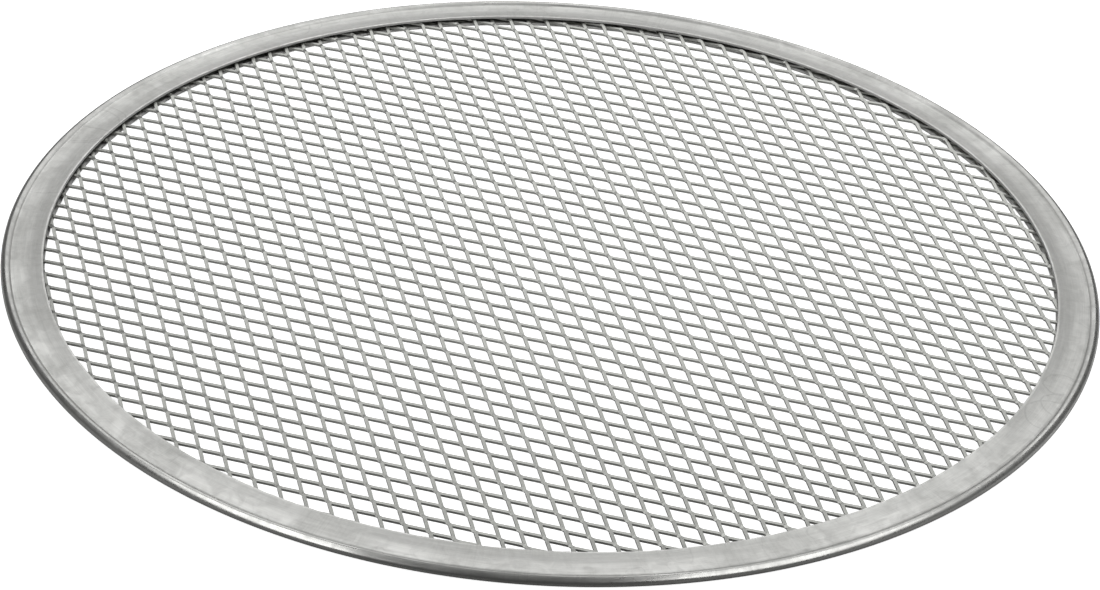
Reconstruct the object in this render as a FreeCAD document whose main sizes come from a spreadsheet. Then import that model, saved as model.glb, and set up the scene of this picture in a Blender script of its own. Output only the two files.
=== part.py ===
# Round pizza screen: a disc of expanded aluminium mesh, with its edge held in a
# folded aluminium ring. Millimetres, +Z up. The origin is the middle of the
# underside that the screen rests on, and +X is the long way of the mesh.
import FreeCAD, Part
import math
import os

import Sketcher

# Driving dimensions: alias, value and what it measures.
SIZES = [
    ("screen_diameter", 304.8, "across the outside of the ring"),
    ("rim_sheet", 0.6, "thickness of the strip that the ring is folded from"),
    ("bead_swell", 0.4, "how much taller the outer bead is than the layers it holds"),
    ("upper_flange_width", 11.6, "outer edge to the inner edge of the upper flange"),
    ("lower_flange_width", 12.0, "outer edge to the inner edge of the lower flange"),
    ("flange_rise", 5.2, "degrees that the upper flange climbs towards the middle"),
    ("mesh_grip", 6.0, "how far the mesh reaches under the upper flange"),
    ("mesh_clearance", 0.05, "between the mesh and the flange pressed down on it"),
    ("long_way", 12.6, "pitch of the diamonds along their long diagonal"),
    ("short_way", 6.2, "pitch of the diamonds along their short diagonal"),
    ("strand_width", 0.8, "width of a strand, seen from above"),
    ("strand_thickness", 0.6, "height of a strand"),
    ("lower_strand_shift", 2.45, "screen centre to the nearest lower strand"),
    ("upper_strand_shift", -1.0, "screen centre to the nearest upper strand"),
    ("bond_gap", 0.02, "hairline between crossing strands in the open field"),
    ("bonded_lengths", 1.2, "width of the bonded margin, in strand lengths"),
]

# Flat facets that stand for the outside and the inside of the round bead, and
# for the edge of the field where crossing strands aren't bonded.
OUTER_FACETS = 8
INNER_FACETS = 5
FIELD_FACETS = 36

# Formulas of the sheet that more than one feature shares.
SCREEN_RADIUS = "Sizes.screen_diameter / 2"
LIP_RADIUS = "(Sizes.screen_diameter / 2 - Sizes.upper_flange_width)"
MESH_RADIUS = "(Sizes.screen_diameter / 2 - Sizes.upper_flange_width + Sizes.mesh_grip)"
MESH_TOP = "(Sizes.rim_sheet + 2 * Sizes.strand_thickness + Sizes.bond_gap)"
BEAD_RADIUS = "((%s + Sizes.rim_sheet + Sizes.bead_swell) / 2)" % MESH_TOP
STRAND_LENGTH = "(sqrt(Sizes.long_way ^ 2 + Sizes.short_way ^ 2) / 2)"
STRAND_PITCH = "(Sizes.long_way * Sizes.short_way / 2 / %s)" % STRAND_LENGTH
STRAND_ANGLE = "atan(Sizes.short_way / Sizes.long_way)"

# How a sketch numbers the ends and the middle of its geometry, and how it
# numbers its own origin and X axis.
START, END, CENTRE = range(1, 4)
ORIGIN, X_AXIS = -1, -1


def make_sheet(doc):
    """Put the driving dimensions in a sheet that the features read."""
    sheet = doc.addObject("Spreadsheet::Sheet", "Sizes")
    for row, (alias, value, note) in enumerate(SIZES, start=1):
        sheet.set("A%d" % row, alias)
        sheet.set("B%d" % row, str(value))
        sheet.set("C%d" % row, note)
        sheet.setAlias("B%d" % row, alias)
    doc.recompute()
    return sheet


def read_sizes(sheet):
    """The sheet's values, for the rough shape that a sketch starts from."""
    return {alias: float(sheet.get(alias)) for alias, value, note in SIZES}


def new_body(doc, name):
    body = doc.addObject("PartDesign::Body", name)
    body.Label = name
    return body


def new_sketch(body, name, role):
    """A sketch on one of the body's own origin planes."""
    sketch = body.newObject("Sketcher::SketchObject", name)
    plane = next(p for p in body.Origin.OriginFeatures if p.Role == role)
    sketch.AttachmentSupport = (plane, [""])
    sketch.MapMode = "FlatFace"
    sketch.Visibility = False
    return sketch


def draw_edges(sketch, points):
    """A straight edge between each point and the next."""
    edges = []
    for (x1, y1), (x2, y2) in zip(points, points[1:]):
        segment = Part.LineSegment(FreeCAD.Vector(x1, y1, 0), FreeCAD.Vector(x2, y2, 0))
        edges.append(sketch.addGeometry(segment))
    return edges


def close_loop(sketch, edges):
    """Join each edge's end to the start of the next, all the way round."""
    for edge, following in zip(edges, edges[1:] + edges[:1]):
        relate(sketch, "Coincident", edge, END, following, START)


def draw_guide_circle(sketch, x, y, radius):
    circle = Part.Circle(FreeCAD.Vector(x, y, 0), FreeCAD.Vector(0, 0, 1), radius)
    guide = sketch.addGeometry(circle)
    sketch.setConstruction(guide, True)
    return guide


def relate(sketch, kind, *places):
    sketch.addConstraint(Sketcher.Constraint(kind, *places))


def dimension(sketch, name, formula, kind, *places):
    """Add a named dimension, and bind it to a formula of the sheet."""
    number = sketch.addConstraint(Sketcher.Constraint(kind, *places))
    sketch.renameConstraint(number, name)
    sketch.setExpression("Constraints." + name, formula)


def round_points(x, y, radius, start, end, facets):
    """Points at equal steps round an arc, between two angles in radians."""
    turns = [start + (end - start) * step / facets for step in range(facets + 1)]
    return [(x + radius * math.cos(turn), y + radius * math.sin(turn)) for turn in turns]


def hold_facets(sketch, guide, facets, *lowest_end):
    """Keep equal facets on a guide circle, with one end at its lowest point."""
    relate(sketch, "Vertical", guide, CENTRE, *lowest_end)
    relate(sketch, "PointOnObject", facets[0], START, guide)
    for facet in facets:
        relate(sketch, "PointOnObject", facet, END, guide)
    for facet in facets[1:]:
        relate(sketch, "Equal", facets[0], facet)


def draw_rim_section(sketch, sheet):
    """The folded strip: lower flange, round bead, crease and upper flange."""
    size = read_sizes(sheet)
    strip = size["rim_sheet"]
    outer = size["screen_diameter"] / 2
    lip_x = outer - size["upper_flange_width"]
    low_x = outer - size["lower_flange_width"]
    mesh_x = lip_x + size["mesh_grip"]
    mesh_top = strip + 2 * size["strand_thickness"] + size["bond_gap"]
    bead = (mesh_top + strip + size["bead_swell"]) / 2
    fold = bead - strip
    bead_x = outer - bead
    rise = math.radians(size["flange_rise"])

    def flange_point(x, depth):
        """A point of the upper flange here, this far down through the strip."""
        top = mesh_top + size["mesh_clearance"] + strip + (mesh_x - x) * math.tan(rise)
        return x, top - depth

    bottom = -math.pi / 2
    crease = math.pi - math.asin((flange_point(bead_x - bead, 0)[1] - bead) / bead)
    inner_crease = math.pi - math.asin((flange_point(bead_x - fold, strip)[1] - bead) / fold)
    outer_points = round_points(bead_x, bead, bead, bottom, crease, OUTER_FACETS)
    inner_points = round_points(bead_x, bead, fold, inner_crease, bottom, INNER_FACETS)

    under, = draw_edges(sketch, [(low_x, 0), outer_points[0]])
    outside = draw_edges(sketch, outer_points)
    flange, lip, ceiling = draw_edges(sketch, [
        outer_points[-1], flange_point(lip_x, 0), flange_point(lip_x, strip), inner_points[0]])
    inside = draw_edges(sketch, inner_points)
    floor, low_edge = draw_edges(sketch, [inner_points[-1], (low_x, strip), (low_x, 0)])
    close_loop(sketch, [under, *outside, flange, lip, ceiling, *inside, floor, low_edge])

    outer_guide = draw_guide_circle(sketch, bead_x, bead, bead)
    inner_guide = draw_guide_circle(sketch, bead_x, bead, fold)
    relate(sketch, "Coincident", outer_guide, CENTRE, inner_guide, CENTRE)
    hold_facets(sketch, outer_guide, outside, outside[0], START)
    hold_facets(sketch, inner_guide, inside, inside[-1], END)
    mesh_edge = sketch.addGeometry(Part.Point(FreeCAD.Vector(mesh_x, mesh_top, 0)))
    sketch.setConstruction(mesh_edge, True)
    relate(sketch, "Horizontal", under)
    relate(sketch, "Horizontal", floor)
    relate(sketch, "Vertical", low_edge)
    relate(sketch, "Perpendicular", flange, lip)
    relate(sketch, "Parallel", flange, ceiling)

    dimension(sketch, "bead_radius", BEAD_RADIUS, "Radius", outer_guide, bead)
    dimension(sketch, "fold_radius", BEAD_RADIUS + " - Sizes.rim_sheet",
              "Radius", inner_guide, fold)
    dimension(sketch, "bead_across", SCREEN_RADIUS + " - " + BEAD_RADIUS,
              "DistanceX", ORIGIN, START, outer_guide, CENTRE, bead_x)
    dimension(sketch, "bead_up", BEAD_RADIUS,
              "DistanceY", ORIGIN, START, outer_guide, CENTRE, bead)
    dimension(sketch, "low_edge_across", SCREEN_RADIUS + " - Sizes.lower_flange_width",
              "DistanceX", ORIGIN, START, under, START, low_x)
    dimension(sketch, "lip_across", LIP_RADIUS,
              "DistanceX", ORIGIN, START, flange, END, lip_x)
    dimension(sketch, "lip_thickness", "Sizes.rim_sheet", "Distance", lip, strip)
    dimension(sketch, "rise", "180 - Sizes.flange_rise",
              "Angle", X_AXIS, START, flange, START, math.pi - rise)
    dimension(sketch, "mesh_across", MESH_RADIUS,
              "DistanceX", ORIGIN, START, mesh_edge, START, mesh_x)
    dimension(sketch, "mesh_up", MESH_TOP,
              "DistanceY", ORIGIN, START, mesh_edge, START, mesh_top)
    # The flange is pressed down on the upper edge of the mesh.
    dimension(sketch, "mesh_clearance", "Sizes.mesh_clearance",
              "Distance", mesh_edge, START, ceiling, size["mesh_clearance"])


def make_rim(doc, sheet):
    """The ring: one strip, folded round the edge of the mesh."""
    body = new_body(doc, "rim")
    section = new_sketch(body, "rim_section", "XZ_Plane")
    draw_rim_section(section, sheet)
    ring = body.newObject("PartDesign::Revolution", "rim_ring")
    ring.Profile = section
    ring.ReferenceAxis = (section, ["V_Axis"])
    ring.Angle = 360
    body.Tip = ring
    return body


def make_strands(doc, sheet, name, shift, angle, floor, height):
    """One family of straight, parallel strands, longer than the screen is wide."""
    size = read_sizes(sheet)
    half_length = size["screen_diameter"] / 2
    half_width = size["strand_width"] / 2

    body = new_body(doc, name)
    body.setExpression("Placement.Rotation.Angle", angle)
    plan = new_sketch(body, name + "_plan", "XY_Plane")
    plan.setExpression("AttachmentOffset.Base.z", floor)
    back, right, front, left = draw_edges(plan, [
        (-half_length, half_width), (half_length, half_width), (half_length, -half_width),
        (-half_length, -half_width), (-half_length, half_width)])
    close_loop(plan, [back, right, front, left])
    relate(plan, "Horizontal", back)
    relate(plan, "Horizontal", front)
    relate(plan, "Vertical", right)
    relate(plan, "Vertical", left)
    dimension(plan, "width", "Sizes.strand_width",
              "DistanceY", front, START, back, END, 2 * half_width)
    dimension(plan, "end_across", SCREEN_RADIUS,
              "DistanceX", ORIGIN, START, back, END, half_length)
    dimension(plan, "start_across", SCREEN_RADIUS,
              "DistanceX", back, START, ORIGIN, START, half_length)
    # The disc is cut from its sheet with no regard to the pattern: one strand
    # misses the centre by the shift, and the rest lie whole pitches from it.
    steps = "floor((%s - Sizes.strand_width - abs(%s)) / %s)" % (MESH_RADIUS, shift, STRAND_PITCH)
    dimension(plan, "first_strand",
              "%s * %s - %s + Sizes.strand_width / 2" % (steps, STRAND_PITCH, shift),
              "DistanceY", front, START, ORIGIN, START, half_width)

    strand = body.newObject("PartDesign::Pad", name + "_first")
    strand.Profile = plan
    strand.setExpression("Length", height)
    doc.recompute()
    family = body.newObject("PartDesign::LinearPattern", name + "_family")
    family.Originals = [strand]
    family.Direction = (plan, ["V_Axis"])
    family.Mode = "Spacing"
    family.setExpression("Offset", STRAND_PITCH)
    family.setExpression("Occurrences", "2 * %s + 1" % steps)
    body.Tip = family
    return body


def combine(doc, kind, name, base, tool):
    """A boolean of two objects that stay in the document."""
    result = doc.addObject(kind, name)
    result.Base = base
    result.Tool = tool
    return result


def make_mesh(doc, sheet):
    """The expanded sheet: two crossing families of strands, bonded at the margin."""
    lower = make_strands(doc, sheet, "lower_strands", "Sizes.lower_strand_shift", STRAND_ANGLE,
                         "Sizes.rim_sheet", "Sizes.strand_thickness + Sizes.bond_gap")
    upper = make_strands(doc, sheet, "upper_strands", "Sizes.upper_strand_shift",
                         "-" + STRAND_ANGLE,
                         "Sizes.rim_sheet + Sizes.strand_thickness + Sizes.bond_gap",
                         "Sizes.strand_thickness")

    blank = doc.addObject("Part::Cylinder", "mesh_blank")
    blank.setExpression("Radius", MESH_RADIUS)
    blank.setExpression("Height", MESH_TOP)

    # Inside the margin the lower strands stop a hairline short of the upper.
    field = doc.addObject("Part::Prism", "open_field")
    field.Polygon = FIELD_FACETS
    field.setExpression("Circumradius",
                        "%s - Sizes.bonded_lengths * %s" % (MESH_RADIUS, STRAND_LENGTH))
    field.setExpression("Height", "Sizes.bond_gap")
    field.setExpression("Placement.Base.z", "Sizes.rim_sheet + Sizes.strand_thickness")

    lower_round = combine(doc, "Part::Common", "lower_strands_round", lower, blank)
    upper_round = combine(doc, "Part::Common", "upper_strands_round", upper, blank)
    lower_eased = combine(doc, "Part::Cut", "lower_strands_eased", lower_round, field)
    mesh = combine(doc, "Part::Fuse", "mesh_disc", lower_eased, upper_round)
    mesh.Label = "mesh_disc"
    return mesh


def check_and_export(doc, pieces):
    """Stop on any failed object, then write one file for each piece."""
    doc.recompute()
    for thing in doc.Objects:
        if "Invalid" in thing.State or "Error" in thing.State:
            raise RuntimeError("%s did not build: %s" % (thing.Name, thing.State))
    os.makedirs("parts", exist_ok=True)
    for piece in pieces:
        shape = piece.Shape
        if shape.isNull() or not shape.isValid() or len(shape.Solids) != 1:
            raise RuntimeError("%s isn't one valid solid" % piece.Label)
        shape.exportStep("parts/%s.step" % piece.Label)
        print("%s: %.0f cubic mm, %d faces" % (piece.Label, shape.Volume, len(shape.Faces)))


def main():
    doc = FreeCAD.newDocument("pizza_screen")
    sheet = make_sheet(doc)
    rim = make_rim(doc, sheet)
    mesh = make_mesh(doc, sheet)
    check_and_export(doc, [rim, mesh])


main()
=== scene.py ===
# A round pizza screen: a disc of expanded aluminium mesh, held in a folded ring
# of aluminium strip. Metres, +Z up. The origin is the middle of the underside
# that the screen rests on, and +X is the long way of the mesh.
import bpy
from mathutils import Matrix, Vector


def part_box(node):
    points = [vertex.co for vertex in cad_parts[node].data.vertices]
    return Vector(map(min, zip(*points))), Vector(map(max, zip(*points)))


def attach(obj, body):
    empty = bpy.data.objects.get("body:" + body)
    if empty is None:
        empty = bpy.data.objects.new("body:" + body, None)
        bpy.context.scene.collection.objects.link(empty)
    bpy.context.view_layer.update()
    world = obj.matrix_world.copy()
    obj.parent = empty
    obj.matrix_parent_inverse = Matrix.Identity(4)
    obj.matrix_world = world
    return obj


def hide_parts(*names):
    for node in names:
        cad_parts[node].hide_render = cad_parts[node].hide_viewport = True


bl_info = {
    "name": "Pizza screen",
    "version": (1, 0, 0),
    "blender": (4, 5, 0),
    "location": "3D View > Sidebar > Pizza screen",
    "description": "Expanded aluminium mesh in a folded ring, on a pale studio floor",
    "category": "Object",
}

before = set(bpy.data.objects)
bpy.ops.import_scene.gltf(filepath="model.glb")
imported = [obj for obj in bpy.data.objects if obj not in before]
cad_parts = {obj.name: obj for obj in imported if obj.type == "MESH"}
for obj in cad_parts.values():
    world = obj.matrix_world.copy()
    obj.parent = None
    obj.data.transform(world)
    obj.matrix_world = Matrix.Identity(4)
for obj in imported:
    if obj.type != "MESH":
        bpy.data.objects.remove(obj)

import math

import bmesh
import bpy
from bpy.props import FloatProperty, FloatVectorProperty, PointerProperty
from mathutils import Matrix, Vector, noise

MM = 0.001

# What the frame gives: how far the ring reaches, and how high it stands.
RING_LOW, RING_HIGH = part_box("rim")
REACH = min(-RING_LOW.x, RING_HIGH.x, -RING_LOW.y, RING_HIGH.y)

# How finely the shapes are cut. The strand is cut at shares of its way from bond to
# bond, closest where it curves.
RING_STEPS = 640
BEAD_STEPS = 22
SHOULDER_STEPS = 6
FLANGE_STEPS = 12
CORNER_STEPS = 3
STRAND_CUTS = (0.06, 0.15, 0.85, 0.94)

# Radii of the small roundings of the strip's section.
GROOVE_RADIUS = 0.25 * MM
EDGE_RADIUS = 0.12 * MM
LIP_RADIUS = 0.2 * MM

# How the ring wanders: the fineness of two waves and of a fray on the circle, and the
# heights between which the strip becomes free to move.
LONG_WAVE = 2.3
SHORT_WAVE = 9.0
FRAY = 70.0
HELD_BELOW, FREE_ABOVE = 0.9 * MM, 2.2 * MM

# The mesh: its clearances above the lower flange and below the upper one, how finely
# its strands drift, and the angle from which an edge of a strand is sharp. The drift
# is drawn from a seed, so that it is the same each time.
CLEAR_BELOW = 0.01 * MM
CLEAR_ABOVE = 0.05 * MM
DRIFT = 45.0
DRIFT_SEED = 3
SHARP_ANGLE = math.radians(50)

# Where the ring's finish changes: distances from the centre, then heights. The bend line and the
# crease line carry painted shade.
CUT_EDGE = 141.0 * MM
BENT_LINE = 149.0 * MM
BEAD_START = 149.6 * MM
CREASE_SHADE_LINE = 150.1 * MM
UPPER_SIDE = 1.0 * MM
FLANGE_LEVEL = 2.4 * MM
CUT_TOP = 2.95 * MM

# Ways out from the centre: to the corner of the ring in front of the camera, where the bead gets
# painted shade, and to the camera's left, where the bead gets painted shade too while the painted
# shade in the crease and along the bend fades out.
FRONT = (0.71, -0.705, 0.0)
LEFT_SIDE = (-0.6, -0.8, 0.0)

# Marks left on the ring by drops that dried, and small dark flecks: degrees from +X,
# then distance from the centre and size, both in millimetres. Their edges wobble.
WOBBLE = 1.6 * MM
TIDE_MARKS = ((172.6, 150.3, 6.3), (170.1, 150.3, 4.2), (167.1, 150.3, 2.8),
              (205.6, 150.0, 12.0), (205.9, 150.0, 10.2), (214.0, 147.0, 20.0),
              (22.1, 149.0, 7.0), (24.5, 149.6, 5.4), (28.1, 147.0, 5.0))
FLECKS = ((-14.9, 149.4, 1.5), (49.2, 150.4, 0.9), (51.5, 150.7, 1.1), (53.8, 150.5, 0.8),
          (47.8, 150.9, 0.7))


class RingSettings(bpy.types.PropertyGroup):
    """The strip that is folded round the edge of the mesh."""

    diameter: FloatProperty(
        name="Diameter", description="Across the outside of the ring",
        default=2 * REACH, unit="LENGTH", precision=5)
    lip_height: FloatProperty(
        name="Lip height", description="Table to the inner edge of the upper flange",
        default=RING_HIGH.z, unit="LENGTH", precision=5)
    strip: FloatProperty(
        name="Strip", description="Thickness of the strip",
        default=0.6 * MM, unit="LENGTH", precision=5)
    bead: FloatProperty(
        name="Bead", description="Height of the round outer edge",
        default=2.82 * MM, unit="LENGTH", precision=5)
    shoulder: FloatProperty(
        name="Shoulder", description="How much wider the bead curves on its inner side",
        default=0.4 * MM, unit="LENGTH", precision=5)
    upper_flange: FloatProperty(
        name="Upper flange", description="Outer edge to the inner edge of the upper flange",
        default=11.6 * MM, unit="LENGTH", precision=5)
    lower_flange: FloatProperty(
        name="Lower flange", description="Outer edge to the inner edge of the lower flange",
        default=12.0 * MM, unit="LENGTH", precision=5)
    rise: FloatProperty(
        name="Rise", description="How steeply the upper flange climbs towards the middle",
        default=math.radians(5.2), subtype="ANGLE")
    hollow: FloatProperty(
        name="Hollow", description="How far the upper flange sags below a straight line",
        default=0.14 * MM, unit="LENGTH", precision=5)
    burr: FloatProperty(
        name="Burr", description="How far the burr of the cut edge hangs below the strip",
        default=0.35 * MM, unit="LENGTH", precision=5)
    unevenness: FloatProperty(
        name="Unevenness", description="How far the inner edge of the upper flange wanders",
        default=0.09 * MM, unit="LENGTH", precision=5)
    metal: FloatVectorProperty(
        name="Metal", description="Colour of the strip where it is clean",
        default=(0.66, 0.661, 0.64), subtype="COLOR")
    stain: FloatVectorProperty(
        name="Stain", description="Colour of the strip where baking has dulled it",
        default=(0.60, 0.601, 0.58), subtype="COLOR")
    cut: FloatVectorProperty(
        name="Cut", description="Colour of the torn face of the inner edge",
        default=(0.66, 0.66, 0.65), subtype="COLOR")


class MeshSettings(bpy.types.PropertyGroup):
    """The sheet that is slit and stretched into diamonds."""

    long_way: FloatProperty(
        name="Long way", description="Pitch of the diamonds along their long diagonal",
        default=12.51 * MM, unit="LENGTH", precision=5)
    short_way: FloatProperty(
        name="Short way", description="Pitch of the diamonds along their short diagonal",
        default=6.15 * MM, unit="LENGTH", precision=5)
    turn: FloatProperty(
        name="Turn", description="How far the long way is turned from +X",
        default=math.radians(0.49), subtype="ANGLE")
    lean: FloatProperty(
        name="Lean", description="How far the short way leans from square to the long way",
        default=math.radians(1.02), subtype="ANGLE")
    bond_across: FloatProperty(
        name="Bond across", description="X of the bond nearest to the centre",
        default=2.11 * MM, unit="LENGTH", precision=5)
    bond_along: FloatProperty(
        name="Bond along", description="Y of the bond nearest to the centre",
        default=-2.07 * MM, unit="LENGTH", precision=5)
    grip: FloatProperty(
        name="Grip", description="How far the mesh reaches under the upper flange",
        default=6.0 * MM, unit="LENGTH", precision=5)
    strand_width: FloatProperty(
        name="Strand width", description="Width of sheet between two rows of slits",
        default=0.68 * MM, unit="LENGTH", precision=5)
    strand_thickness: FloatProperty(
        name="Strand thickness", description="Thickness of the sheet",
        default=0.92 * MM, unit="LENGTH", precision=5)
    tilt: FloatProperty(
        name="Tilt", description="How far stretching has turned the sheet at a bond",
        default=math.radians(51), subtype="ANGLE")
    twist: FloatProperty(
        name="Twist", description="How much further a strand is turned between bonds",
        default=math.radians(37), subtype="ANGLE")
    bond_length: FloatProperty(
        name="Bond length", description="Length over which two strands stay joined",
        default=0.5 * MM, unit="LENGTH", precision=5)
    turn_share: FloatProperty(
        name="Turn share", description="Share of a strand that curves at each end",
        default=0.1, min=0.05, max=0.5, subtype="FACTOR")
    unevenness: FloatProperty(
        name="Unevenness", description="How far the strands wander from a true pattern",
        default=0.06 * MM, unit="LENGTH", precision=5)
    metal: FloatVectorProperty(
        name="Metal", description="Colour of the faces of the sheet",
        default=(0.50, 0.505, 0.48), subtype="COLOR")
    sheared: FloatVectorProperty(
        name="Sheared", description="Colour where the slits have torn the sheet",
        default=(0.47, 0.475, 0.45), subtype="COLOR")


class StudioSettings(bpy.types.PropertyGroup):
    """Floor, lights and camera."""

    azimuth: FloatProperty(
        name="Azimuth", description="Camera's way round the screen, from -Y towards +X",
        default=math.radians(48.1), subtype="ANGLE")
    elevation: FloatProperty(
        name="Elevation", description="Camera above the horizon",
        default=math.radians(32.0), subtype="ANGLE")
    roll: FloatProperty(
        name="Roll", description="Turn of the camera about its own axis",
        default=math.radians(3.65), subtype="ANGLE")
    distance: FloatProperty(
        name="Distance", description="Camera to the point that it looks at",
        default=1.011, unit="LENGTH")
    nearer: FloatProperty(
        name="Nearer", description="Point looked at, towards the camera from the centre",
        default=17.4 * MM, unit="LENGTH", precision=5)
    lens: FloatProperty(
        name="Lens", description="Focal length for a picture 36 mm wide",
        default=120.24, subtype="DISTANCE_CAMERA")
    floor: FloatVectorProperty(
        name="Floor", description="Colour of the floor",
        default=(0.9, 0.9, 0.9), subtype="COLOR")
    floor_size: FloatProperty(
        name="Floor size", description="Side of the square floor",
        default=8.0, unit="LENGTH")
    floor_drop: FloatProperty(
        name="Floor drop", description="Gap under the screen, which keeps the two faces apart",
        default=0.1 * MM, unit="LENGTH", precision=5)
    floor_glow: FloatProperty(
        name="Floor glow", description="Light that the floor adds of its own for the camera",
        default=0.8, min=0.0)
    room: FloatVectorProperty(
        name="Room", description="Colour of the room that the metal mirrors",
        default=(0.13, 0.13, 0.13), subtype="COLOR")


# The soft boxes: name, two ends, the place that each faces, width, and power in watts.
# A place is given in metres: to the camera's right, towards the camera, and up.
SOFT_BOXES = (
    ("back_panel", (-0.005, -0.255, 0.45), (-0.005, -0.89, 0.28), (-0.005, -0.495, 0), 0.61, 1.52),
    ("left_panel", (-0.58, 0.85, 0.12), (-0.36, -0.45, 1.10), (0, 0, 0), 0.40, 3.6),
    ("right_panel", (0.52, 0.80, 0.25), (0.36, -0.52, 1.06), (0, 0, 0), 0.48, 3.9))


def ramp(value, low, high):
    """0 below low, 1 above high, and smooth between."""
    share = min(max((value - low) / (high - low), 0.0), 1.0)
    return share * share * (3 - 2 * share)


def rounded(before, corner, after, radius):
    """The points of an arc that rounds off a corner."""
    back = (before - corner).normalized()
    on = (after - corner).normalized()
    half_angle = back.angle(on) / 2
    reach = radius / math.tan(half_angle)
    centre = corner + (back + on).normalized() * radius / math.sin(half_angle)
    start = corner + back * reach - centre
    sweep = start.angle_signed(corner + on * reach - centre)
    return [centre + turned(start, sweep * step / CORNER_STEPS)
            for step in range(CORNER_STEPS + 1)]


def turned(vector, clockwise):
    """A flat vector, turned clockwise by an angle in radians."""
    return Matrix.Rotation(-clockwise, 2) @ vector


def arc(centre, radius, start, end, steps):
    """Points at equal steps along an arc, angles in radians from +X towards +Y."""
    angles = [start + (end - start) * step / steps for step in range(steps + 1)]
    return [centre + radius * Vector((math.cos(a), math.sin(a))) for a in angles]


def ring_section(ring):
    """The section of the folded strip, as points (radius, height)."""
    outer = ring.diameter / 2
    bead_radius = ring.bead / 2
    bead = Vector((outer - bead_radius, bead_radius))
    shoulder_radius = bead_radius + ring.shoulder
    shoulder = bead - Vector((0, ring.shoulder))
    slope = Vector((math.cos(ring.rise), -math.sin(ring.rise)))
    across = Vector((math.sin(ring.rise), math.cos(ring.rise)))
    lip = Vector((outer - ring.upper_flange, ring.lip_height))

    # The groove is an arc that touches both the flange and the shoulder of the bead.
    lift = (shoulder - lip).dot(across)
    gap = GROOVE_RADIUS - lift
    reach = shoulder_radius + GROOVE_RADIUS
    along = (shoulder - lip).dot(slope) - math.sqrt(reach ** 2 - gap ** 2)
    groove = lip + slope * along + across * GROOVE_RADIUS
    to_bead = shoulder - groove
    groove_end = math.atan2(to_bead.y, to_bead.x)
    groove_start = math.atan2(-across.y, -across.x)
    crease = math.atan2(-to_bead.y, -to_bead.x)

    def flange_point(share, depth):
        """From the groove to the lip, this far down through the strip."""
        sag = ring.hollow * (1 - abs(2 * share - 1) ** 1.4)
        return lip + slope * along * (1 - share) - across * (depth + sag)

    inner_radius = bead_radius - ring.strip
    inner_drop = (bead - flange_point(0, ring.strip)).dot(across)
    inner_crease = math.pi - ring.rise - math.asin(-inner_drop / inner_radius)

    low_edge = outer - ring.lower_flange
    points = rounded(Vector((low_edge, ring.strip)), Vector((low_edge, 0)),
                     Vector((outer, 0)), EDGE_RADIUS)
    points += arc(bead, bead_radius, -math.pi / 2, math.pi / 2, BEAD_STEPS)
    points += arc(shoulder, shoulder_radius, math.pi / 2, crease % math.tau, SHOULDER_STEPS)[1:]
    points += arc(groove, GROOVE_RADIUS, groove_end, groove_start, CORNER_STEPS)[1:]
    points += [flange_point(step / FLANGE_STEPS, 0) for step in range(1, FLANGE_STEPS)]
    upper, lower = flange_point(1, 0), flange_point(1, ring.strip + ring.burr)
    points += rounded(flange_point(0.9, 0), upper, lower, LIP_RADIUS)
    points += rounded(upper, lower, flange_point(0.95, ring.strip), EDGE_RADIUS)
    points += [flange_point(1 - step / FLANGE_STEPS, ring.strip)
               for step in range(1, FLANGE_STEPS)]
    points += arc(bead, inner_radius, inner_crease, -math.pi / 2, BEAD_STEPS // 2)
    points += rounded(Vector((outer, ring.strip)), Vector((low_edge, ring.strip)),
                      Vector((low_edge, 0)), EDGE_RADIUS)
    return points


def new_piece(name, vertices, faces, smooth=True):
    """A mesh object in the scene, from its corners and faces."""
    mesh = bpy.data.meshes.new(name)
    mesh.from_pydata(vertices, [], faces)
    piece = bpy.data.objects.new(name, mesh)
    bpy.context.scene.collection.objects.link(piece)
    mesh.polygons.foreach_set("use_smooth", [smooth] * len(faces))
    return piece


def face_outwards(piece):
    """Turn the front of every face to the outside of the piece."""
    shape = bmesh.new()
    shape.from_mesh(piece.data)
    bmesh.ops.recalc_face_normals(shape, faces=shape.faces)
    shape.to_mesh(piece.data)
    shape.free()


def build_ring(ring):
    """Turn the section round the axis, a little unevenly, as a pressed strip is."""
    section = ring_section(ring)
    outer = ring.diameter / 2
    vertices = []
    for step in range(RING_STEPS):
        turn = math.tau * step / RING_STEPS
        heading = Vector((math.cos(turn), math.sin(turn), 0))
        long_wave = noise.noise(heading * LONG_WAVE + Vector((0, 0, 4.0)))
        short_wave = noise.noise(heading * SHORT_WAVE + Vector((0, 0, 9.0)))
        fray = noise.noise(heading * FRAY)
        for radius, height in section:
            free = ramp(height, HELD_BELOW, FREE_ABOVE)
            lipward = ramp(outer - radius, 0, ring.upper_flange) * free
            sag = ring.unevenness * lipward * (0.5 + 0.35 * long_wave + 0.3 * short_wave)
            shift = ring.unevenness * lipward * (short_wave + 0.35 * fray)
            vertices.append(heading * (radius + shift) + Vector((0, 0, height - sag)))
    count = len(section)
    faces = []
    for step in range(RING_STEPS):
        here, there = step * count, (step + 1) % RING_STEPS * count
        for point in range(count):
            following = (point + 1) % count
            faces.append((here + point, there + point, there + following, here + following))
    piece = new_piece("folded_ring", vertices, faces)
    face_outwards(piece)
    return piece


def strand_share(share, turn):
    """Share of the way across that a strand has gone, curving at both ends."""
    steepest = 1 / (1 - turn)
    if share < turn:
        return steepest * share * share / (2 * turn)
    if share > 1 - turn:
        return 1 - steepest * (1 - share) ** 2 / (2 * turn)
    return steepest * (share - turn / 2)


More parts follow.
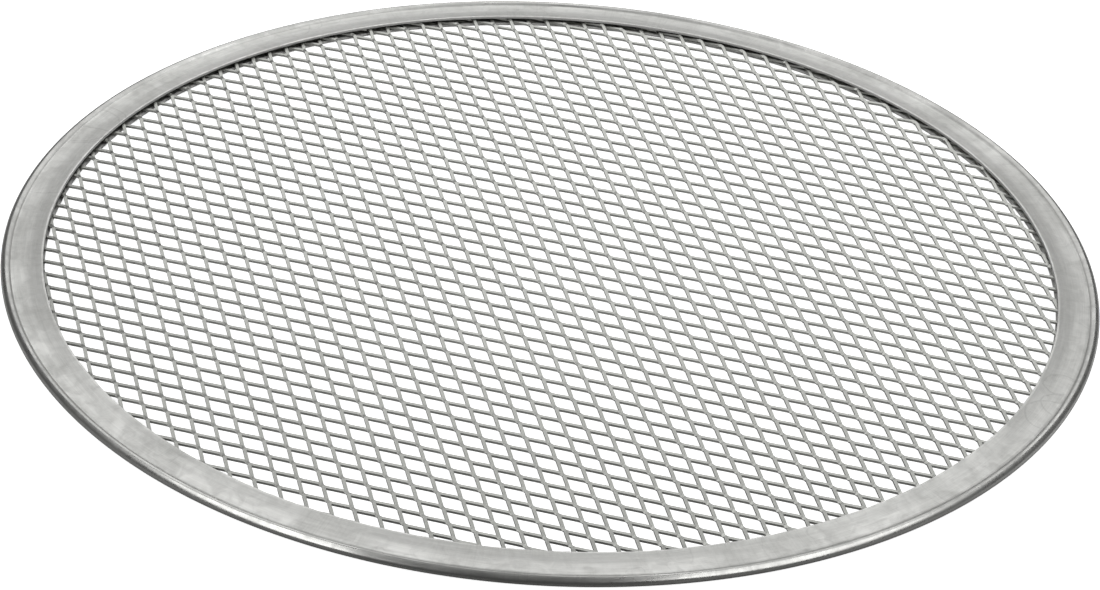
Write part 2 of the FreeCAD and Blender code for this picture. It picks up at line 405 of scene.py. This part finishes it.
class Lattice:
    """Where the bonds of the stretched sheet lie, and how its strands run."""

    def __init__(self, mesh, ring):
        self.mesh = mesh
        self.half_long = mesh.long_way / 2
        self.half_short = mesh.short_way / 2
        upright = mesh.turn + math.pi / 2 - mesh.lean
        self.column_step = self.half_long * Vector((math.cos(mesh.turn), math.sin(mesh.turn), 0))
        self.row_step = self.half_short * Vector((math.cos(upright), math.sin(upright), 0))
        self.half_step = self.width_way(0) * mesh.strand_width / 2
        self.height = (2 * mesh.strand_width * math.sin(mesh.tilt)
                       + mesh.strand_thickness * math.cos(mesh.tilt))
        self.floor = ring.strip + CLEAR_BELOW
        self.middle = self.floor + self.height / 2

        # The underside of the upper flange: how high it is at the lip, how steeply it
        # falls from there, and how much it may hang lower.
        self.lip_radius = ring.diameter / 2 - ring.upper_flange
        self.radius = self.lip_radius + mesh.grip
        self.ceiling = ring.lip_height - ring.strip / math.cos(ring.rise) - CLEAR_ABOVE
        self.fall = math.tan(ring.rise)
        self.hang = ring.hollow + ring.unevenness

    def width_way(self, freedom):
        """Which way a strand's width points: 0 freedom at a bond, 1 well clear of it."""
        turn = self.mesh.tilt + self.mesh.twist * freedom
        return Vector((0, -math.cos(turn), math.sin(turn)))

    def bond(self, column, row):
        """The middle of a bond. Bonds lie where column and row are both even or both odd."""
        first = Vector((self.mesh.bond_across, self.mesh.bond_along, self.middle))
        return first + self.column_step * column + self.row_step * row

    def inside(self, point, margin=0.0):
        """Whether a point is within the round that the sheet is cut to."""
        return math.hypot(point.x, point.y) < self.radius - margin

    def pressed(self, point):
        """The point as it lies once the flange is pressed down on the mesh's edge."""
        radius = math.hypot(point.x, point.y)
        over = self.ceiling - self.hang - (radius - self.lip_radius) * self.fall
        squeeze = min(1.0, (over - self.floor) / self.height)
        drift = noise.noise_vector(point * DRIFT) * self.mesh.unevenness
        height = self.floor + (point.z - self.floor + drift.z * 0.5) * squeeze
        return Vector((point.x + drift.x, point.y + drift.y, max(height, self.floor)))


def strand_rings(lattice, row):
    """Rings of four corners along one zigzag strand, in lengths that hold together.

    Each ring is a list of (key, point). A key that two strands share is one corner.
    """
    mesh = lattice.mesh
    columns = int(lattice.radius / lattice.half_long) + 2
    half_bond = Vector((mesh.bond_length / 2, 0, 0))
    half_thick = mesh.strand_thickness / 2
    half_wide = mesh.strand_width / 2

    def station(column):
        """The bond at this column, and which side of it the strand runs."""
        lower = (column + row) % 2 == 0
        bond_row = row if lower else row + 1
        centre = lattice.bond(column, bond_row)
        side = -1 if lower else 1
        return centre, bond_row, side, centre + lattice.half_step * side

    def corners(point, way, width_way, keys):
        """The four corners of the strand where it passes a point, each with its key."""
        thick_way = way.cross(width_way).normalized()
        ring = []
        for key, up, front in zip(keys, (1, 1, -1, -1), (1, -1, -1, 1)):
            corner = point + width_way * half_wide * up + thick_way * half_thick * front
            ring.append((key, corner))
        return ring

    def bond_ring(column, end):
        """The ring at one end of a bond. Two of its corners are the other strand's too."""
        centre, bond_row, side, point = station(column)
        shared = [("bond", column, bond_row, end, face) for face in ("front", "back")]
        own = [("strand", column, row, end, face) for face in range(2)]
        if side < 0:
            keys = [shared[0], shared[1], own[0], own[1]]
        else:
            keys = [own[1], own[0], shared[1], shared[0]]
        return corners(point + half_bond * end, Vector((1, 0, 0)), lattice.width_way(0), keys)

    def crossing(column):
        """The rings between one bond and the next."""
        start = station(column)[3] + half_bond
        end = station(column + 1)[3] - half_bond
        run = end - start
        nudge = 0.01
        rings = []
        for step, share in enumerate(STRAND_CUTS):
            done = strand_share(share, mesh.turn_share)
            gain = (strand_share(share + nudge, mesh.turn_share)
                    - strand_share(share - nudge, mesh.turn_share))
            point = start + Vector((run.x * share, run.y * done, run.z * done))
            way = Vector((run.x * 2 * nudge, run.y * gain, run.z * gain)).normalized()
            free = ramp(min(share, 1 - share), 0, mesh.turn_share)
            upright = lattice.width_way(free)
            width_way = (upright - way * upright.dot(way)).normalized()
            keys = [("run", column, row, step, face) for face in range(4)]
            rings.append(corners(point, way, width_way, keys))
        return rings

    lengths, current = [], []
    for column in range(-columns, columns):
        here = lattice.inside(station(column)[0], mesh.bond_length)
        following = lattice.inside(station(column + 1)[0], mesh.bond_length)
        if here:
            current += [bond_ring(column, -1), bond_ring(column, 1)]
        if not (here or following):
            continue
        rings = crossing(column)
        kept = [all(lattice.inside(point) for key, point in ring) for ring in rings]
        if here and following:
            current += rings
        elif here:
            stop = kept.index(False) if False in kept else len(rings)
            lengths.append(current + rings[:stop])
            current = []
        else:
            start = len(kept) - kept[::-1].index(False) if False in kept else 0
            current = rings[start:]
    if current:
        lengths.append(current)
    return lengths


def build_mesh(mesh, ring):
    """Every strand of the sheet, joined at the bonds into one skin."""
    noise.seed_set(DRIFT_SEED)
    lattice = Lattice(mesh, ring)
    rows = int(lattice.radius / lattice.half_short) + 3
    numbers, vertices, skin = {}, [], {}

    def number(corner):
        """The place of a corner in the list of vertices, to which it is added if new."""
        key, point = corner
        if key not in numbers:
            numbers[key] = len(vertices)
            vertices.append(lattice.pressed(point))
        return numbers[key]

    def add_face(loop, marks):
        """Keep a face, or drop it with its twin: joined strands have no skin between them."""
        key = frozenset(loop)
        if key in skin:
            del skin[key]
        else:
            skin[key] = (loop, marks)

    # Each corner is marked with its place along +X in millimetres, and with how many
    # sides round the strand it is, from the upper slit edge. Ends are marked 4 all over.
    for row in range(-rows, rows):
        for rings in strand_rings(lattice, row):
            loops = [[number(corner) for corner in ring] for ring in rings]
            travel = [(ring[0][1] + ring[2][1]).x / 2 / MM for ring in rings]
            add_face(loops[0][::-1], [(travel[0], 4)] * 4)
            add_face(loops[-1], [(travel[-1], 4)] * 4)
            for a, b, here, there in zip(loops, loops[1:], travel, travel[1:]):
                for side in range(4):
                    other = (side + 1) % 4
                    add_face([a[side], b[side], b[other], a[other]],
                             [(here, side), (there, side), (there, side + 1), (here, side + 1)])
    loops = [loop for loop, marks in skin.values()]
    piece = new_piece("expanded_mesh", vertices, loops)
    layer = piece.data.uv_layers.new(name="strand")
    marks = [value for loop, marks in skin.values() for mark in marks for value in mark]
    layer.data.foreach_set("uv", marks)
    keep_largest(piece)
    face_outwards(piece)
    piece.data.set_sharp_from_angle(angle=SHARP_ANGLE)
    return piece


def keep_largest(piece):
    """Drop the offcuts at the edge of the disc that no bond holds."""
    shape = bmesh.new()
    shape.from_mesh(piece.data)
    shape.verts.ensure_lookup_table()
    seen, groups = set(), []
    for first in shape.verts:
        if first.index in seen:
            continue
        seen.add(first.index)
        group, waiting = [], [first]
        while waiting:
            vertex = waiting.pop()
            group.append(vertex)
            for edge in vertex.link_edges:
                other = edge.other_vert(vertex)
                if other.index not in seen:
                    seen.add(other.index)
                    waiting.append(other)
        groups.append(group)
    groups.sort(key=len)
    offcuts = [vertex for group in groups[:-1] for vertex in group]
    bmesh.ops.delete(shape, geom=offcuts, context="VERTS")
    shape.to_mesh(piece.data)
    shape.free()


class Finish:
    """A material that is put together node by node."""

    def __init__(self, name):
        self.material = bpy.data.materials.new(name)
        self.material.use_nodes = True
        self.nodes = self.material.node_tree.nodes
        self.links = self.material.node_tree.links
        self.shader = self.nodes["Principled BSDF"]

    def feed(self, socket, value):
        """Link a socket to another, or set it."""
        if isinstance(value, bpy.types.NodeSocket):
            self.links.new(value, socket)
        elif value is not None:
            socket.default_value = value

    def maths(self, operation, first, second=None, third=None):
        """A sum or other working on numbers."""
        node = self.nodes.new("ShaderNodeMath")
        node.operation = operation
        for socket, value in zip(node.inputs, (first, second, third)):
            self.feed(socket, value)
        return node.outputs[0]

    def times(self, first, second):
        """Two numbers multiplied."""
        return self.maths("MULTIPLY", first, second)

    def highest(self, first, *others):
        """The highest of several numbers."""
        for other in others:
            first = self.maths("MAXIMUM", first, other)
        return first

    def vector(self, operation, first, second=None):
        """A working on vectors, which gives a vector or a number."""
        node = self.nodes.new("ShaderNodeVectorMath")
        node.operation = operation
        self.feed(node.inputs[0], first)
        self.feed(node.inputs[1], second)
        return node.outputs["Value" if operation in ("LENGTH", "DOT_PRODUCT") else "Vector"]

    def combine(self, x, y, z):
        """A vector from three numbers."""
        node = self.nodes.new("ShaderNodeCombineXYZ")
        for socket, value in zip(node.inputs, (x, y, z)):
            self.feed(socket, value)
        return node.outputs[0]

    def split(self, vector):
        """The three numbers of a vector."""
        node = self.nodes.new("ShaderNodeSeparateXYZ")
        self.feed(node.inputs[0], vector)
        return node.outputs[0], node.outputs[1], node.outputs[2]

    def clouds(self, vector, scale, detail=3.0, roughness=0.55, distortion=0.0):
        """Noise, about 0.5 on average."""
        node = self.nodes.new("ShaderNodeTexNoise")
        self.feed(node.inputs["Vector"], vector)
        node.inputs["Scale"].default_value = scale
        node.inputs["Detail"].default_value = detail
        node.inputs["Roughness"].default_value = roughness
        node.inputs["Distortion"].default_value = distortion
        return node.outputs["Fac"]

    def spread(self, value, low, high, start=0.0, end=1.0):
        """Map low to high onto start to end, smoothly and no further."""
        node = self.nodes.new("ShaderNodeMapRange")
        node.interpolation_type = "SMOOTHSTEP"
        for name, number in (("Value", value), ("From Min", low), ("From Max", high),
                             ("To Min", start), ("To Max", end)):
            self.feed(node.inputs[name], number)
        return node.outputs[0]

    def blend(self, share, first, second):
        """A colour part of the way from first to second."""
        node = self.nodes.new("ShaderNodeMix")
        node.data_type = "RGBA"
        self.feed(node.inputs["Factor"], share)
        for name, colour in (("A", first), ("B", second)):
            socket = next(s for s in node.inputs if s.name == name and s.type == "RGBA")
            if isinstance(colour, bpy.types.NodeSocket):
                self.links.new(colour, socket)
            else:
                socket.default_value = (*colour, 1.0)
        return next(s for s in node.outputs if s.type == "RGBA")

    def shaded(self, colour, shade):
        """A colour, made darker or lighter."""
        return self.vector("MULTIPLY", colour, self.combine(shade, shade, shade))

    def raise_by(self, height, depth, beneath=None):
        """Bump of this depth in metres, on top of another."""
        node = self.nodes.new("ShaderNodeBump")
        node.inputs["Distance"].default_value = depth
        self.feed(node.inputs["Height"], height)
        if beneath is not None:
            self.links.new(beneath, node.inputs["Normal"])
        return node.outputs[0]

    def place(self):
        """Where the surface is, in metres from the object's own origin."""
        return self.nodes.new("ShaderNodeTexCoord").outputs["Object"]

    def wrap(self, colour, roughness, normal):
        """The finished material, which is bare metal all over."""
        self.shader.inputs["Metallic"].default_value = 1.0
        self.feed(self.shader.inputs["Base Color"], colour)
        self.feed(self.shader.inputs["Roughness"], roughness)
        self.feed(self.shader.inputs["Normal"], normal)
        return self.material


def ring_finish(ring):
    """Rolled strip: fine lines round the ring, baking stains, dried drops, and painted shade in
    the crease and on the bead.
    """
    finish = Finish("stained_strip")
    place = finish.place()
    x, y, z = finish.split(place)
    level = finish.combine(x, y, 0.0)
    radius = finish.vector("LENGTH", level)
    heading = finish.vector("NORMALIZE", level)
    heading_x, heading_y = finish.split(heading)[:2]
    depth = finish.maths("ADD", radius, z)

    def lines(along, across, way_across, detail):
        """Streaks, this fine along the ring and this fine across it."""
        return finish.clouds(finish.combine(
            finish.times(heading_x, along), finish.times(heading_y, along),
            finish.times(way_across, across)), 1.0, detail)

    def far_from(turn, reach):
        """How far the surface is from a point on the ring, a little unsteadily."""
        turn = math.radians(turn)
        spot = (math.cos(turn) * reach * MM, math.sin(turn) * reach * MM, FLANGE_LEVEL)
        away = finish.vector("LENGTH", finish.vector("SUBTRACT", place, spot))
        return finish.maths("MULTIPLY_ADD", smudges, WOBBLE, away)

    def near(value, middle, low, high):
        """1 where the value is at the middle, and 0 where it is further off than high."""
        return finish.spread(finish.maths("ABSOLUTE", finish.maths("SUBTRACT", value, middle)),
                             low, high, 1.0, 0.0)

    rolling = lines(14.0, 3600.0, depth, 2.0)
    bands = lines(6.0, 700.0, depth, 3.0)
    combed = lines(420.0, 60.0, radius, 2.0)
    stains = finish.clouds(place, 55.0, detail=5.0, roughness=0.6, distortion=0.4)
    smudges = finish.clouds(place, 230.0, detail=4.0, roughness=0.65, distortion=1.0)
    grain = finish.clouds(place, 2600.0, detail=2.0)
    left_side = finish.vector("DOT_PRODUCT", heading, LEFT_SIDE)
    front = finish.vector("DOT_PRODUCT", heading, FRONT)

    # The strip as it was rolled and baked.
    colour = finish.blend(finish.spread(stains, 0.38, 0.66), tuple(ring.metal), tuple(ring.stain))
    faded = finish.spread(bands, 0.3, 0.7, 0.93, 1.04)
    lined = finish.spread(rolling, 0.25, 0.75, 0.95, 1.03)
    smudged = finish.spread(smudges, 0.35, 0.7, 1.03, 0.93)
    shade = finish.times(finish.times(faded, lined), smudged)

    # Edges of dried drops, flecks, and the outlines of old stains.
    drops = None
    for turn, reach, size in TIDE_MARKS:
        edge = near(far_from(turn, reach), size * MM + WOBBLE / 2, 0.08 * MM, 0.4 * MM)
        drops = edge if drops is None else finish.highest(drops, edge)
    marks = finish.times(drops, 0.11)
    for turn, reach, size in FLECKS:
        fleck = finish.spread(far_from(turn, reach), 0.9 * MM, (size + 1.0) * MM, 0.3, 0.0)
        marks = finish.highest(marks, fleck)
    stain_edges = near(finish.clouds(place, 48.0, detail=2.5), 0.5, 0.002, 0.007)
    here_and_there = finish.spread(finish.clouds(place, 21.0, detail=1.0), 0.5, 0.62, 0.0, 0.07)
    outlines = finish.times(stain_edges, here_and_there)
    combed = finish.times(finish.spread(combed, 0.45, 0.75, 0.0, 0.07),
                          finish.spread(stains, 0.4, 0.6))

    # Painted shade in the crease, along the line where the flange bends, and on the outside of the
    # bead.
    # Painted shade: a darker band in the crease, weaker on the camera's left.
    crease_shade = finish.times(near(radius, CREASE_SHADE_LINE, 0.6 * MM, 1.2 * MM),
                        finish.spread(bands, 0.3, 0.7, 0.3, 0.2))
    crease_shade = finish.times(crease_shade, finish.spread(left_side, 0.5, 0.9, 1.0, 0.1))
    # Painted shade on the outside of the bead, at the corner facing the camera and on the camera's
    # left.
    bead_shade = finish.highest(finish.spread(front, 0.955, 0.99, 0.0, 0.42),
                            finish.spread(left_side, 0.55, 0.85, 0.0, 0.26))
    bead_shade = finish.times(finish.spread(radius, BEAD_START, BEAD_START + 0.4 * MM), bead_shade)
    # Painted shade: a thin dark line where the flange bends, left out on the camera's left.
    bend_shade = finish.times(near(radius, BENT_LINE, 0.03 * MM, 0.1 * MM),
                        finish.spread(left_side, -0.4, 0.3, 0.14, 0.0))
    upper = finish.spread(z, UPPER_SIDE, UPPER_SIDE + 0.6 * MM)
    # The painted shade, on the upper side only, joins the stains; together they darken the colour
    # and make it a little more matt.
    stains_and_shade = finish.times(finish.highest(crease_shade, bead_shade, bend_shade), upper)
    stains_and_shade = finish.maths("ADD", finish.highest(marks, outlines, stains_and_shade), combed)
    colour = finish.shaded(colour, finish.times(shade, finish.maths("SUBTRACT", 1.0, stains_and_shade)))

    # How matt it all is, with the torn face of the cut edge palest and most matt.
    matt = finish.maths("ADD", finish.spread(smudges, 0.3, 0.7, 0.30, 0.42),
                        finish.spread(stains, 0.35, 0.7, 0.0, 0.08))
    matt = finish.maths("MULTIPLY_ADD", stains_and_shade, 0.2, matt)
    cut = finish.times(finish.spread(radius, CUT_EDGE, CUT_EDGE + 0.2 * MM, 1.0, 0.0),
                       finish.spread(z, CUT_TOP - 0.25 * MM, CUT_TOP, 1.0, 0.0))
    colour = finish.blend(cut, colour, tuple(ring.cut))
    matt = finish.maths("MULTIPLY_ADD", cut, 0.5, matt)

    # The bead is smoother than the flat of the strip.
    flat = finish.spread(radius, BEAD_START, BEAD_START + 0.6 * MM, 1.0, 0.0)
    matt = finish.maths("MULTIPLY_ADD", finish.maths("SUBTRACT", 1.0, flat), -0.12, matt)
    bumps = finish.maths("MULTIPLY_ADD", flat, 0.95, 0.05)
    normal = None
    for texture, height in ((rolling, 0.006 * MM), (smudges, 0.012 * MM), (grain, 0.002 * MM)):
        normal = finish.raise_by(finish.times(texture, bumps), height, normal)
    return finish.wrap(colour, matt, normal)


def mesh_finish(mesh):
    """Bare sheet, duller where the slits tore it: over most of the upper edge and the back."""
    finish = Finish("stretched_sheet")
    place = finish.place()
    marks = finish.nodes.new("ShaderNodeUVMap")
    marks.uv_map = "strand"
    sides = finish.split(marks.outputs[0])[1]
    half_turn = finish.maths("PINGPONG", finish.maths("ADD", sides, 1.0), 2.0)
    torn = finish.spread(half_turn, 1.25, 1.5)
    fine = finish.clouds(place, 900.0)
    patches = finish.clouds(place, 60.0)
    colour = finish.blend(torn, tuple(mesh.metal), tuple(mesh.sheared))
    colour = finish.shaded(colour, finish.times(finish.spread(fine, 0.3, 0.7, 0.92, 1.05),
                                                finish.spread(patches, 0.35, 0.65, 0.96, 1.03)))
    matt = finish.spread(fine, 0.3, 0.7, 0.32, 0.46)
    return finish.wrap(colour, matt, finish.raise_by(fine, 0.02 * MM))


def dress(piece, material, node):
    """Give a piece its finish, and let it stand for the frame's node."""
    piece.data.materials.append(material)
    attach(piece, "root")
    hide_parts(node)


class SCREEN_OT_folded_ring(bpy.types.Operator):
    """Build the strip of aluminium that is folded round the edge of the mesh"""

    bl_idname = "pizza_screen.folded_ring"
    bl_label = "Folded ring"

    def execute(self, context):
        ring = context.scene.screen_ring
        dress(build_ring(ring), ring_finish(ring), "rim")
        return {"FINISHED"}


class SCREEN_OT_expanded_mesh(bpy.types.Operator):
    """Build the disc of slit and stretched aluminium"""

    bl_idname = "pizza_screen.expanded_mesh"
    bl_label = "Expanded mesh"

    def execute(self, context):
        mesh = context.scene.screen_mesh
        piece = build_mesh(mesh, context.scene.screen_ring)
        dress(piece, mesh_finish(mesh), "mesh_disc")
        return {"FINISHED"}


def direction(azimuth, elevation):
    """Unit vector towards a place, azimuth from -Y towards +X."""
    return Vector((math.sin(azimuth) * math.cos(elevation),
                   -math.cos(azimuth) * math.cos(elevation), math.sin(elevation)))


def add_panel_light(name, start, end, facing, width, power):
    """A soft box that runs from one place to another, unseen by the camera itself."""
    place = (start + end) / 2
    along = (end - start).normalized()
    away = (place - facing).normalized()
    away = (away - along * away.dot(along)).normalized()
    lamp = bpy.data.lights.new(name, "AREA")
    lamp.shape = "RECTANGLE"
    lamp.size = width
    lamp.size_y = (end - start).length
    lamp.energy = power
    box = bpy.data.objects.new(name, lamp)
    bpy.context.scene.collection.objects.link(box)
    box.visible_camera = False
    axes = Matrix((along.cross(away), along, away)).transposed().to_4x4()
    box.matrix_world = Matrix.Translation(place) @ axes


def add_camera(studio):
    """The camera looks at a point on the table, a little nearer than the centre."""
    back = direction(studio.azimuth, studio.elevation)
    right = direction(studio.azimuth + math.pi / 2, 0)
    up = back.cross(right)
    turn = Matrix.Rotation(studio.roll, 3, back)
    lens = bpy.data.cameras.new("camera")
    lens.lens = studio.lens
    camera = bpy.data.objects.new("camera", lens)
    bpy.context.scene.collection.objects.link(camera)
    target = direction(studio.azimuth, 0) * studio.nearer
    axes = Matrix((turn @ right, turn @ up, back)).transposed().to_4x4()
    camera.matrix_world = Matrix.Translation(target + back * studio.distance) @ axes
    bpy.context.scene.camera = camera


def floor_finish(studio):
    """White to the eye, and darker where the metal mirrors it."""
    finish = Finish("pale_floor")
    rays = finish.nodes.new("ShaderNodeLightPath")
    seen = finish.nodes.new("ShaderNodeEmission")
    seen.inputs["Color"].default_value = (1, 1, 1, 1)
    seen.inputs["Strength"].default_value = studio.floor_glow
    finish.shader.inputs["Base Color"].default_value = (*studio.floor, 1.0)
    finish.shader.inputs["Roughness"].default_value = 1.0
    finish.shader.inputs["Specular IOR Level"].default_value = 0.0
    both = finish.nodes.new("ShaderNodeAddShader")
    finish.links.new(finish.shader.outputs[0], both.inputs[0])
    finish.links.new(seen.outputs[0], both.inputs[1])

    # What the metal mirrors: grey behind the centre, and nearly black in front.
    dim = finish.nodes.new("ShaderNodeBsdfDiffuse")
    nearer = finish.vector("DOT_PRODUCT", finish.place(), direction(studio.azimuth, 0))
    grey = finish.spread(nearer, 0.02, 0.22, 0.6, 0.05)
    finish.links.new(finish.combine(grey, grey, grey), dim.inputs["Color"])

    choice = finish.nodes.new("ShaderNodeMixShader")
    finish.links.new(rays.outputs["Is Camera Ray"], choice.inputs[0])
    finish.links.new(dim.outputs[0], choice.inputs[1])
    finish.links.new(both.outputs[0], choice.inputs[2])
    out = finish.nodes["Material Output"]
    finish.links.new(choice.outputs[0], out.inputs["Surface"])
    return finish.material


def add_floor(studio):
    """A square of floor, hardly below the screen."""
    half, level = studio.floor_size / 2, -studio.floor_drop
    corners = [(-half, -half, level), (half, -half, level), (half, half, level),
               (-half, half, level)]
    floor = new_piece("studio_floor", corners, [(0, 1, 2, 3)], smooth=False)
    floor.data.materials.append(floor_finish(studio))


def add_room(studio):
    """The world: white to the camera, and grey where the metal mirrors it."""
    world = bpy.data.worlds.new("studio_room")
    world.use_nodes = True
    nodes, links = world.node_tree.nodes, world.node_tree.links
    room = nodes["Background"]
    room.inputs["Color"].default_value = (*studio.room, 1.0)
    paper = nodes.new("ShaderNodeBackground")
    paper.inputs["Color"].default_value = (1, 1, 1, 1)
    rays = nodes.new("ShaderNodeLightPath")
    choice = nodes.new("ShaderNodeMixShader")
    links.new(rays.outputs["Is Camera Ray"], choice.inputs[0])
    links.new(room.outputs[0], choice.inputs[1])
    links.new(paper.outputs[0], choice.inputs[2])
    links.new(choice.outputs[0], nodes["World Output"].inputs["Surface"])
    bpy.context.scene.world = world


class SCREEN_OT_studio(bpy.types.Operator):
    """Lay the pale floor, set the soft lights and place the camera"""

    bl_idname = "pizza_screen.studio"
    bl_label = "Studio"

    def execute(self, context):
        studio = context.scene.screen_studio
        right_way = direction(studio.azimuth + math.pi / 2, 0)
        near_way = direction(studio.azimuth, 0)

        def spot(right, nearer, up):
            """A place given by the camera's right and its way to the screen."""
            return right_way * right + near_way * nearer + Vector((0, 0, up))

        add_floor(studio)
        add_camera(studio)
        add_room(studio)
        for name, start, end, facing, width, power in SOFT_BOXES:
            add_panel_light(name, spot(*start), spot(*end), spot(*facing), width, power)
        context.scene.view_settings.view_transform = "Standard"
        return {"FINISHED"}


class SCREEN_PT_panel(bpy.types.Panel):
    """Lists the pieces of the screen and its studio"""

    bl_idname = "SCREEN_PT_panel"
    bl_label = "Pizza screen"
    bl_space_type = "VIEW_3D"
    bl_region_type = "UI"
    bl_category = "Pizza screen"

    def draw(self, context):
        layout = self.layout
        for operator, settings in (
                (SCREEN_OT_folded_ring, context.scene.screen_ring),
                (SCREEN_OT_expanded_mesh, context.scene.screen_mesh),
                (SCREEN_OT_studio, context.scene.screen_studio)):
            box = layout.box()
            box.operator(operator.bl_idname)
            for name in settings.__annotations__:
                box.prop(settings, name)


CLASSES = (RingSettings, MeshSettings, StudioSettings, SCREEN_OT_folded_ring,
           SCREEN_OT_expanded_mesh, SCREEN_OT_studio, SCREEN_PT_panel)


def register():
    for each in CLASSES:
        bpy.utils.register_class(each)
    bpy.types.Scene.screen_ring = PointerProperty(type=RingSettings)
    bpy.types.Scene.screen_mesh = PointerProperty(type=MeshSettings)
    bpy.types.Scene.screen_studio = PointerProperty(type=StudioSettings)


def unregister():
    del bpy.types.Scene.screen_studio
    del bpy.types.Scene.screen_mesh
    del bpy.types.Scene.screen_ring
    for each in reversed(CLASSES):
        bpy.utils.unregister_class(each)


def main():
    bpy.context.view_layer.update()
    register()
    bpy.ops.pizza_screen.folded_ring()
    bpy.ops.pizza_screen.expanded_mesh()
    bpy.ops.pizza_screen.studio()


if __name__ == "__main__":
    main()
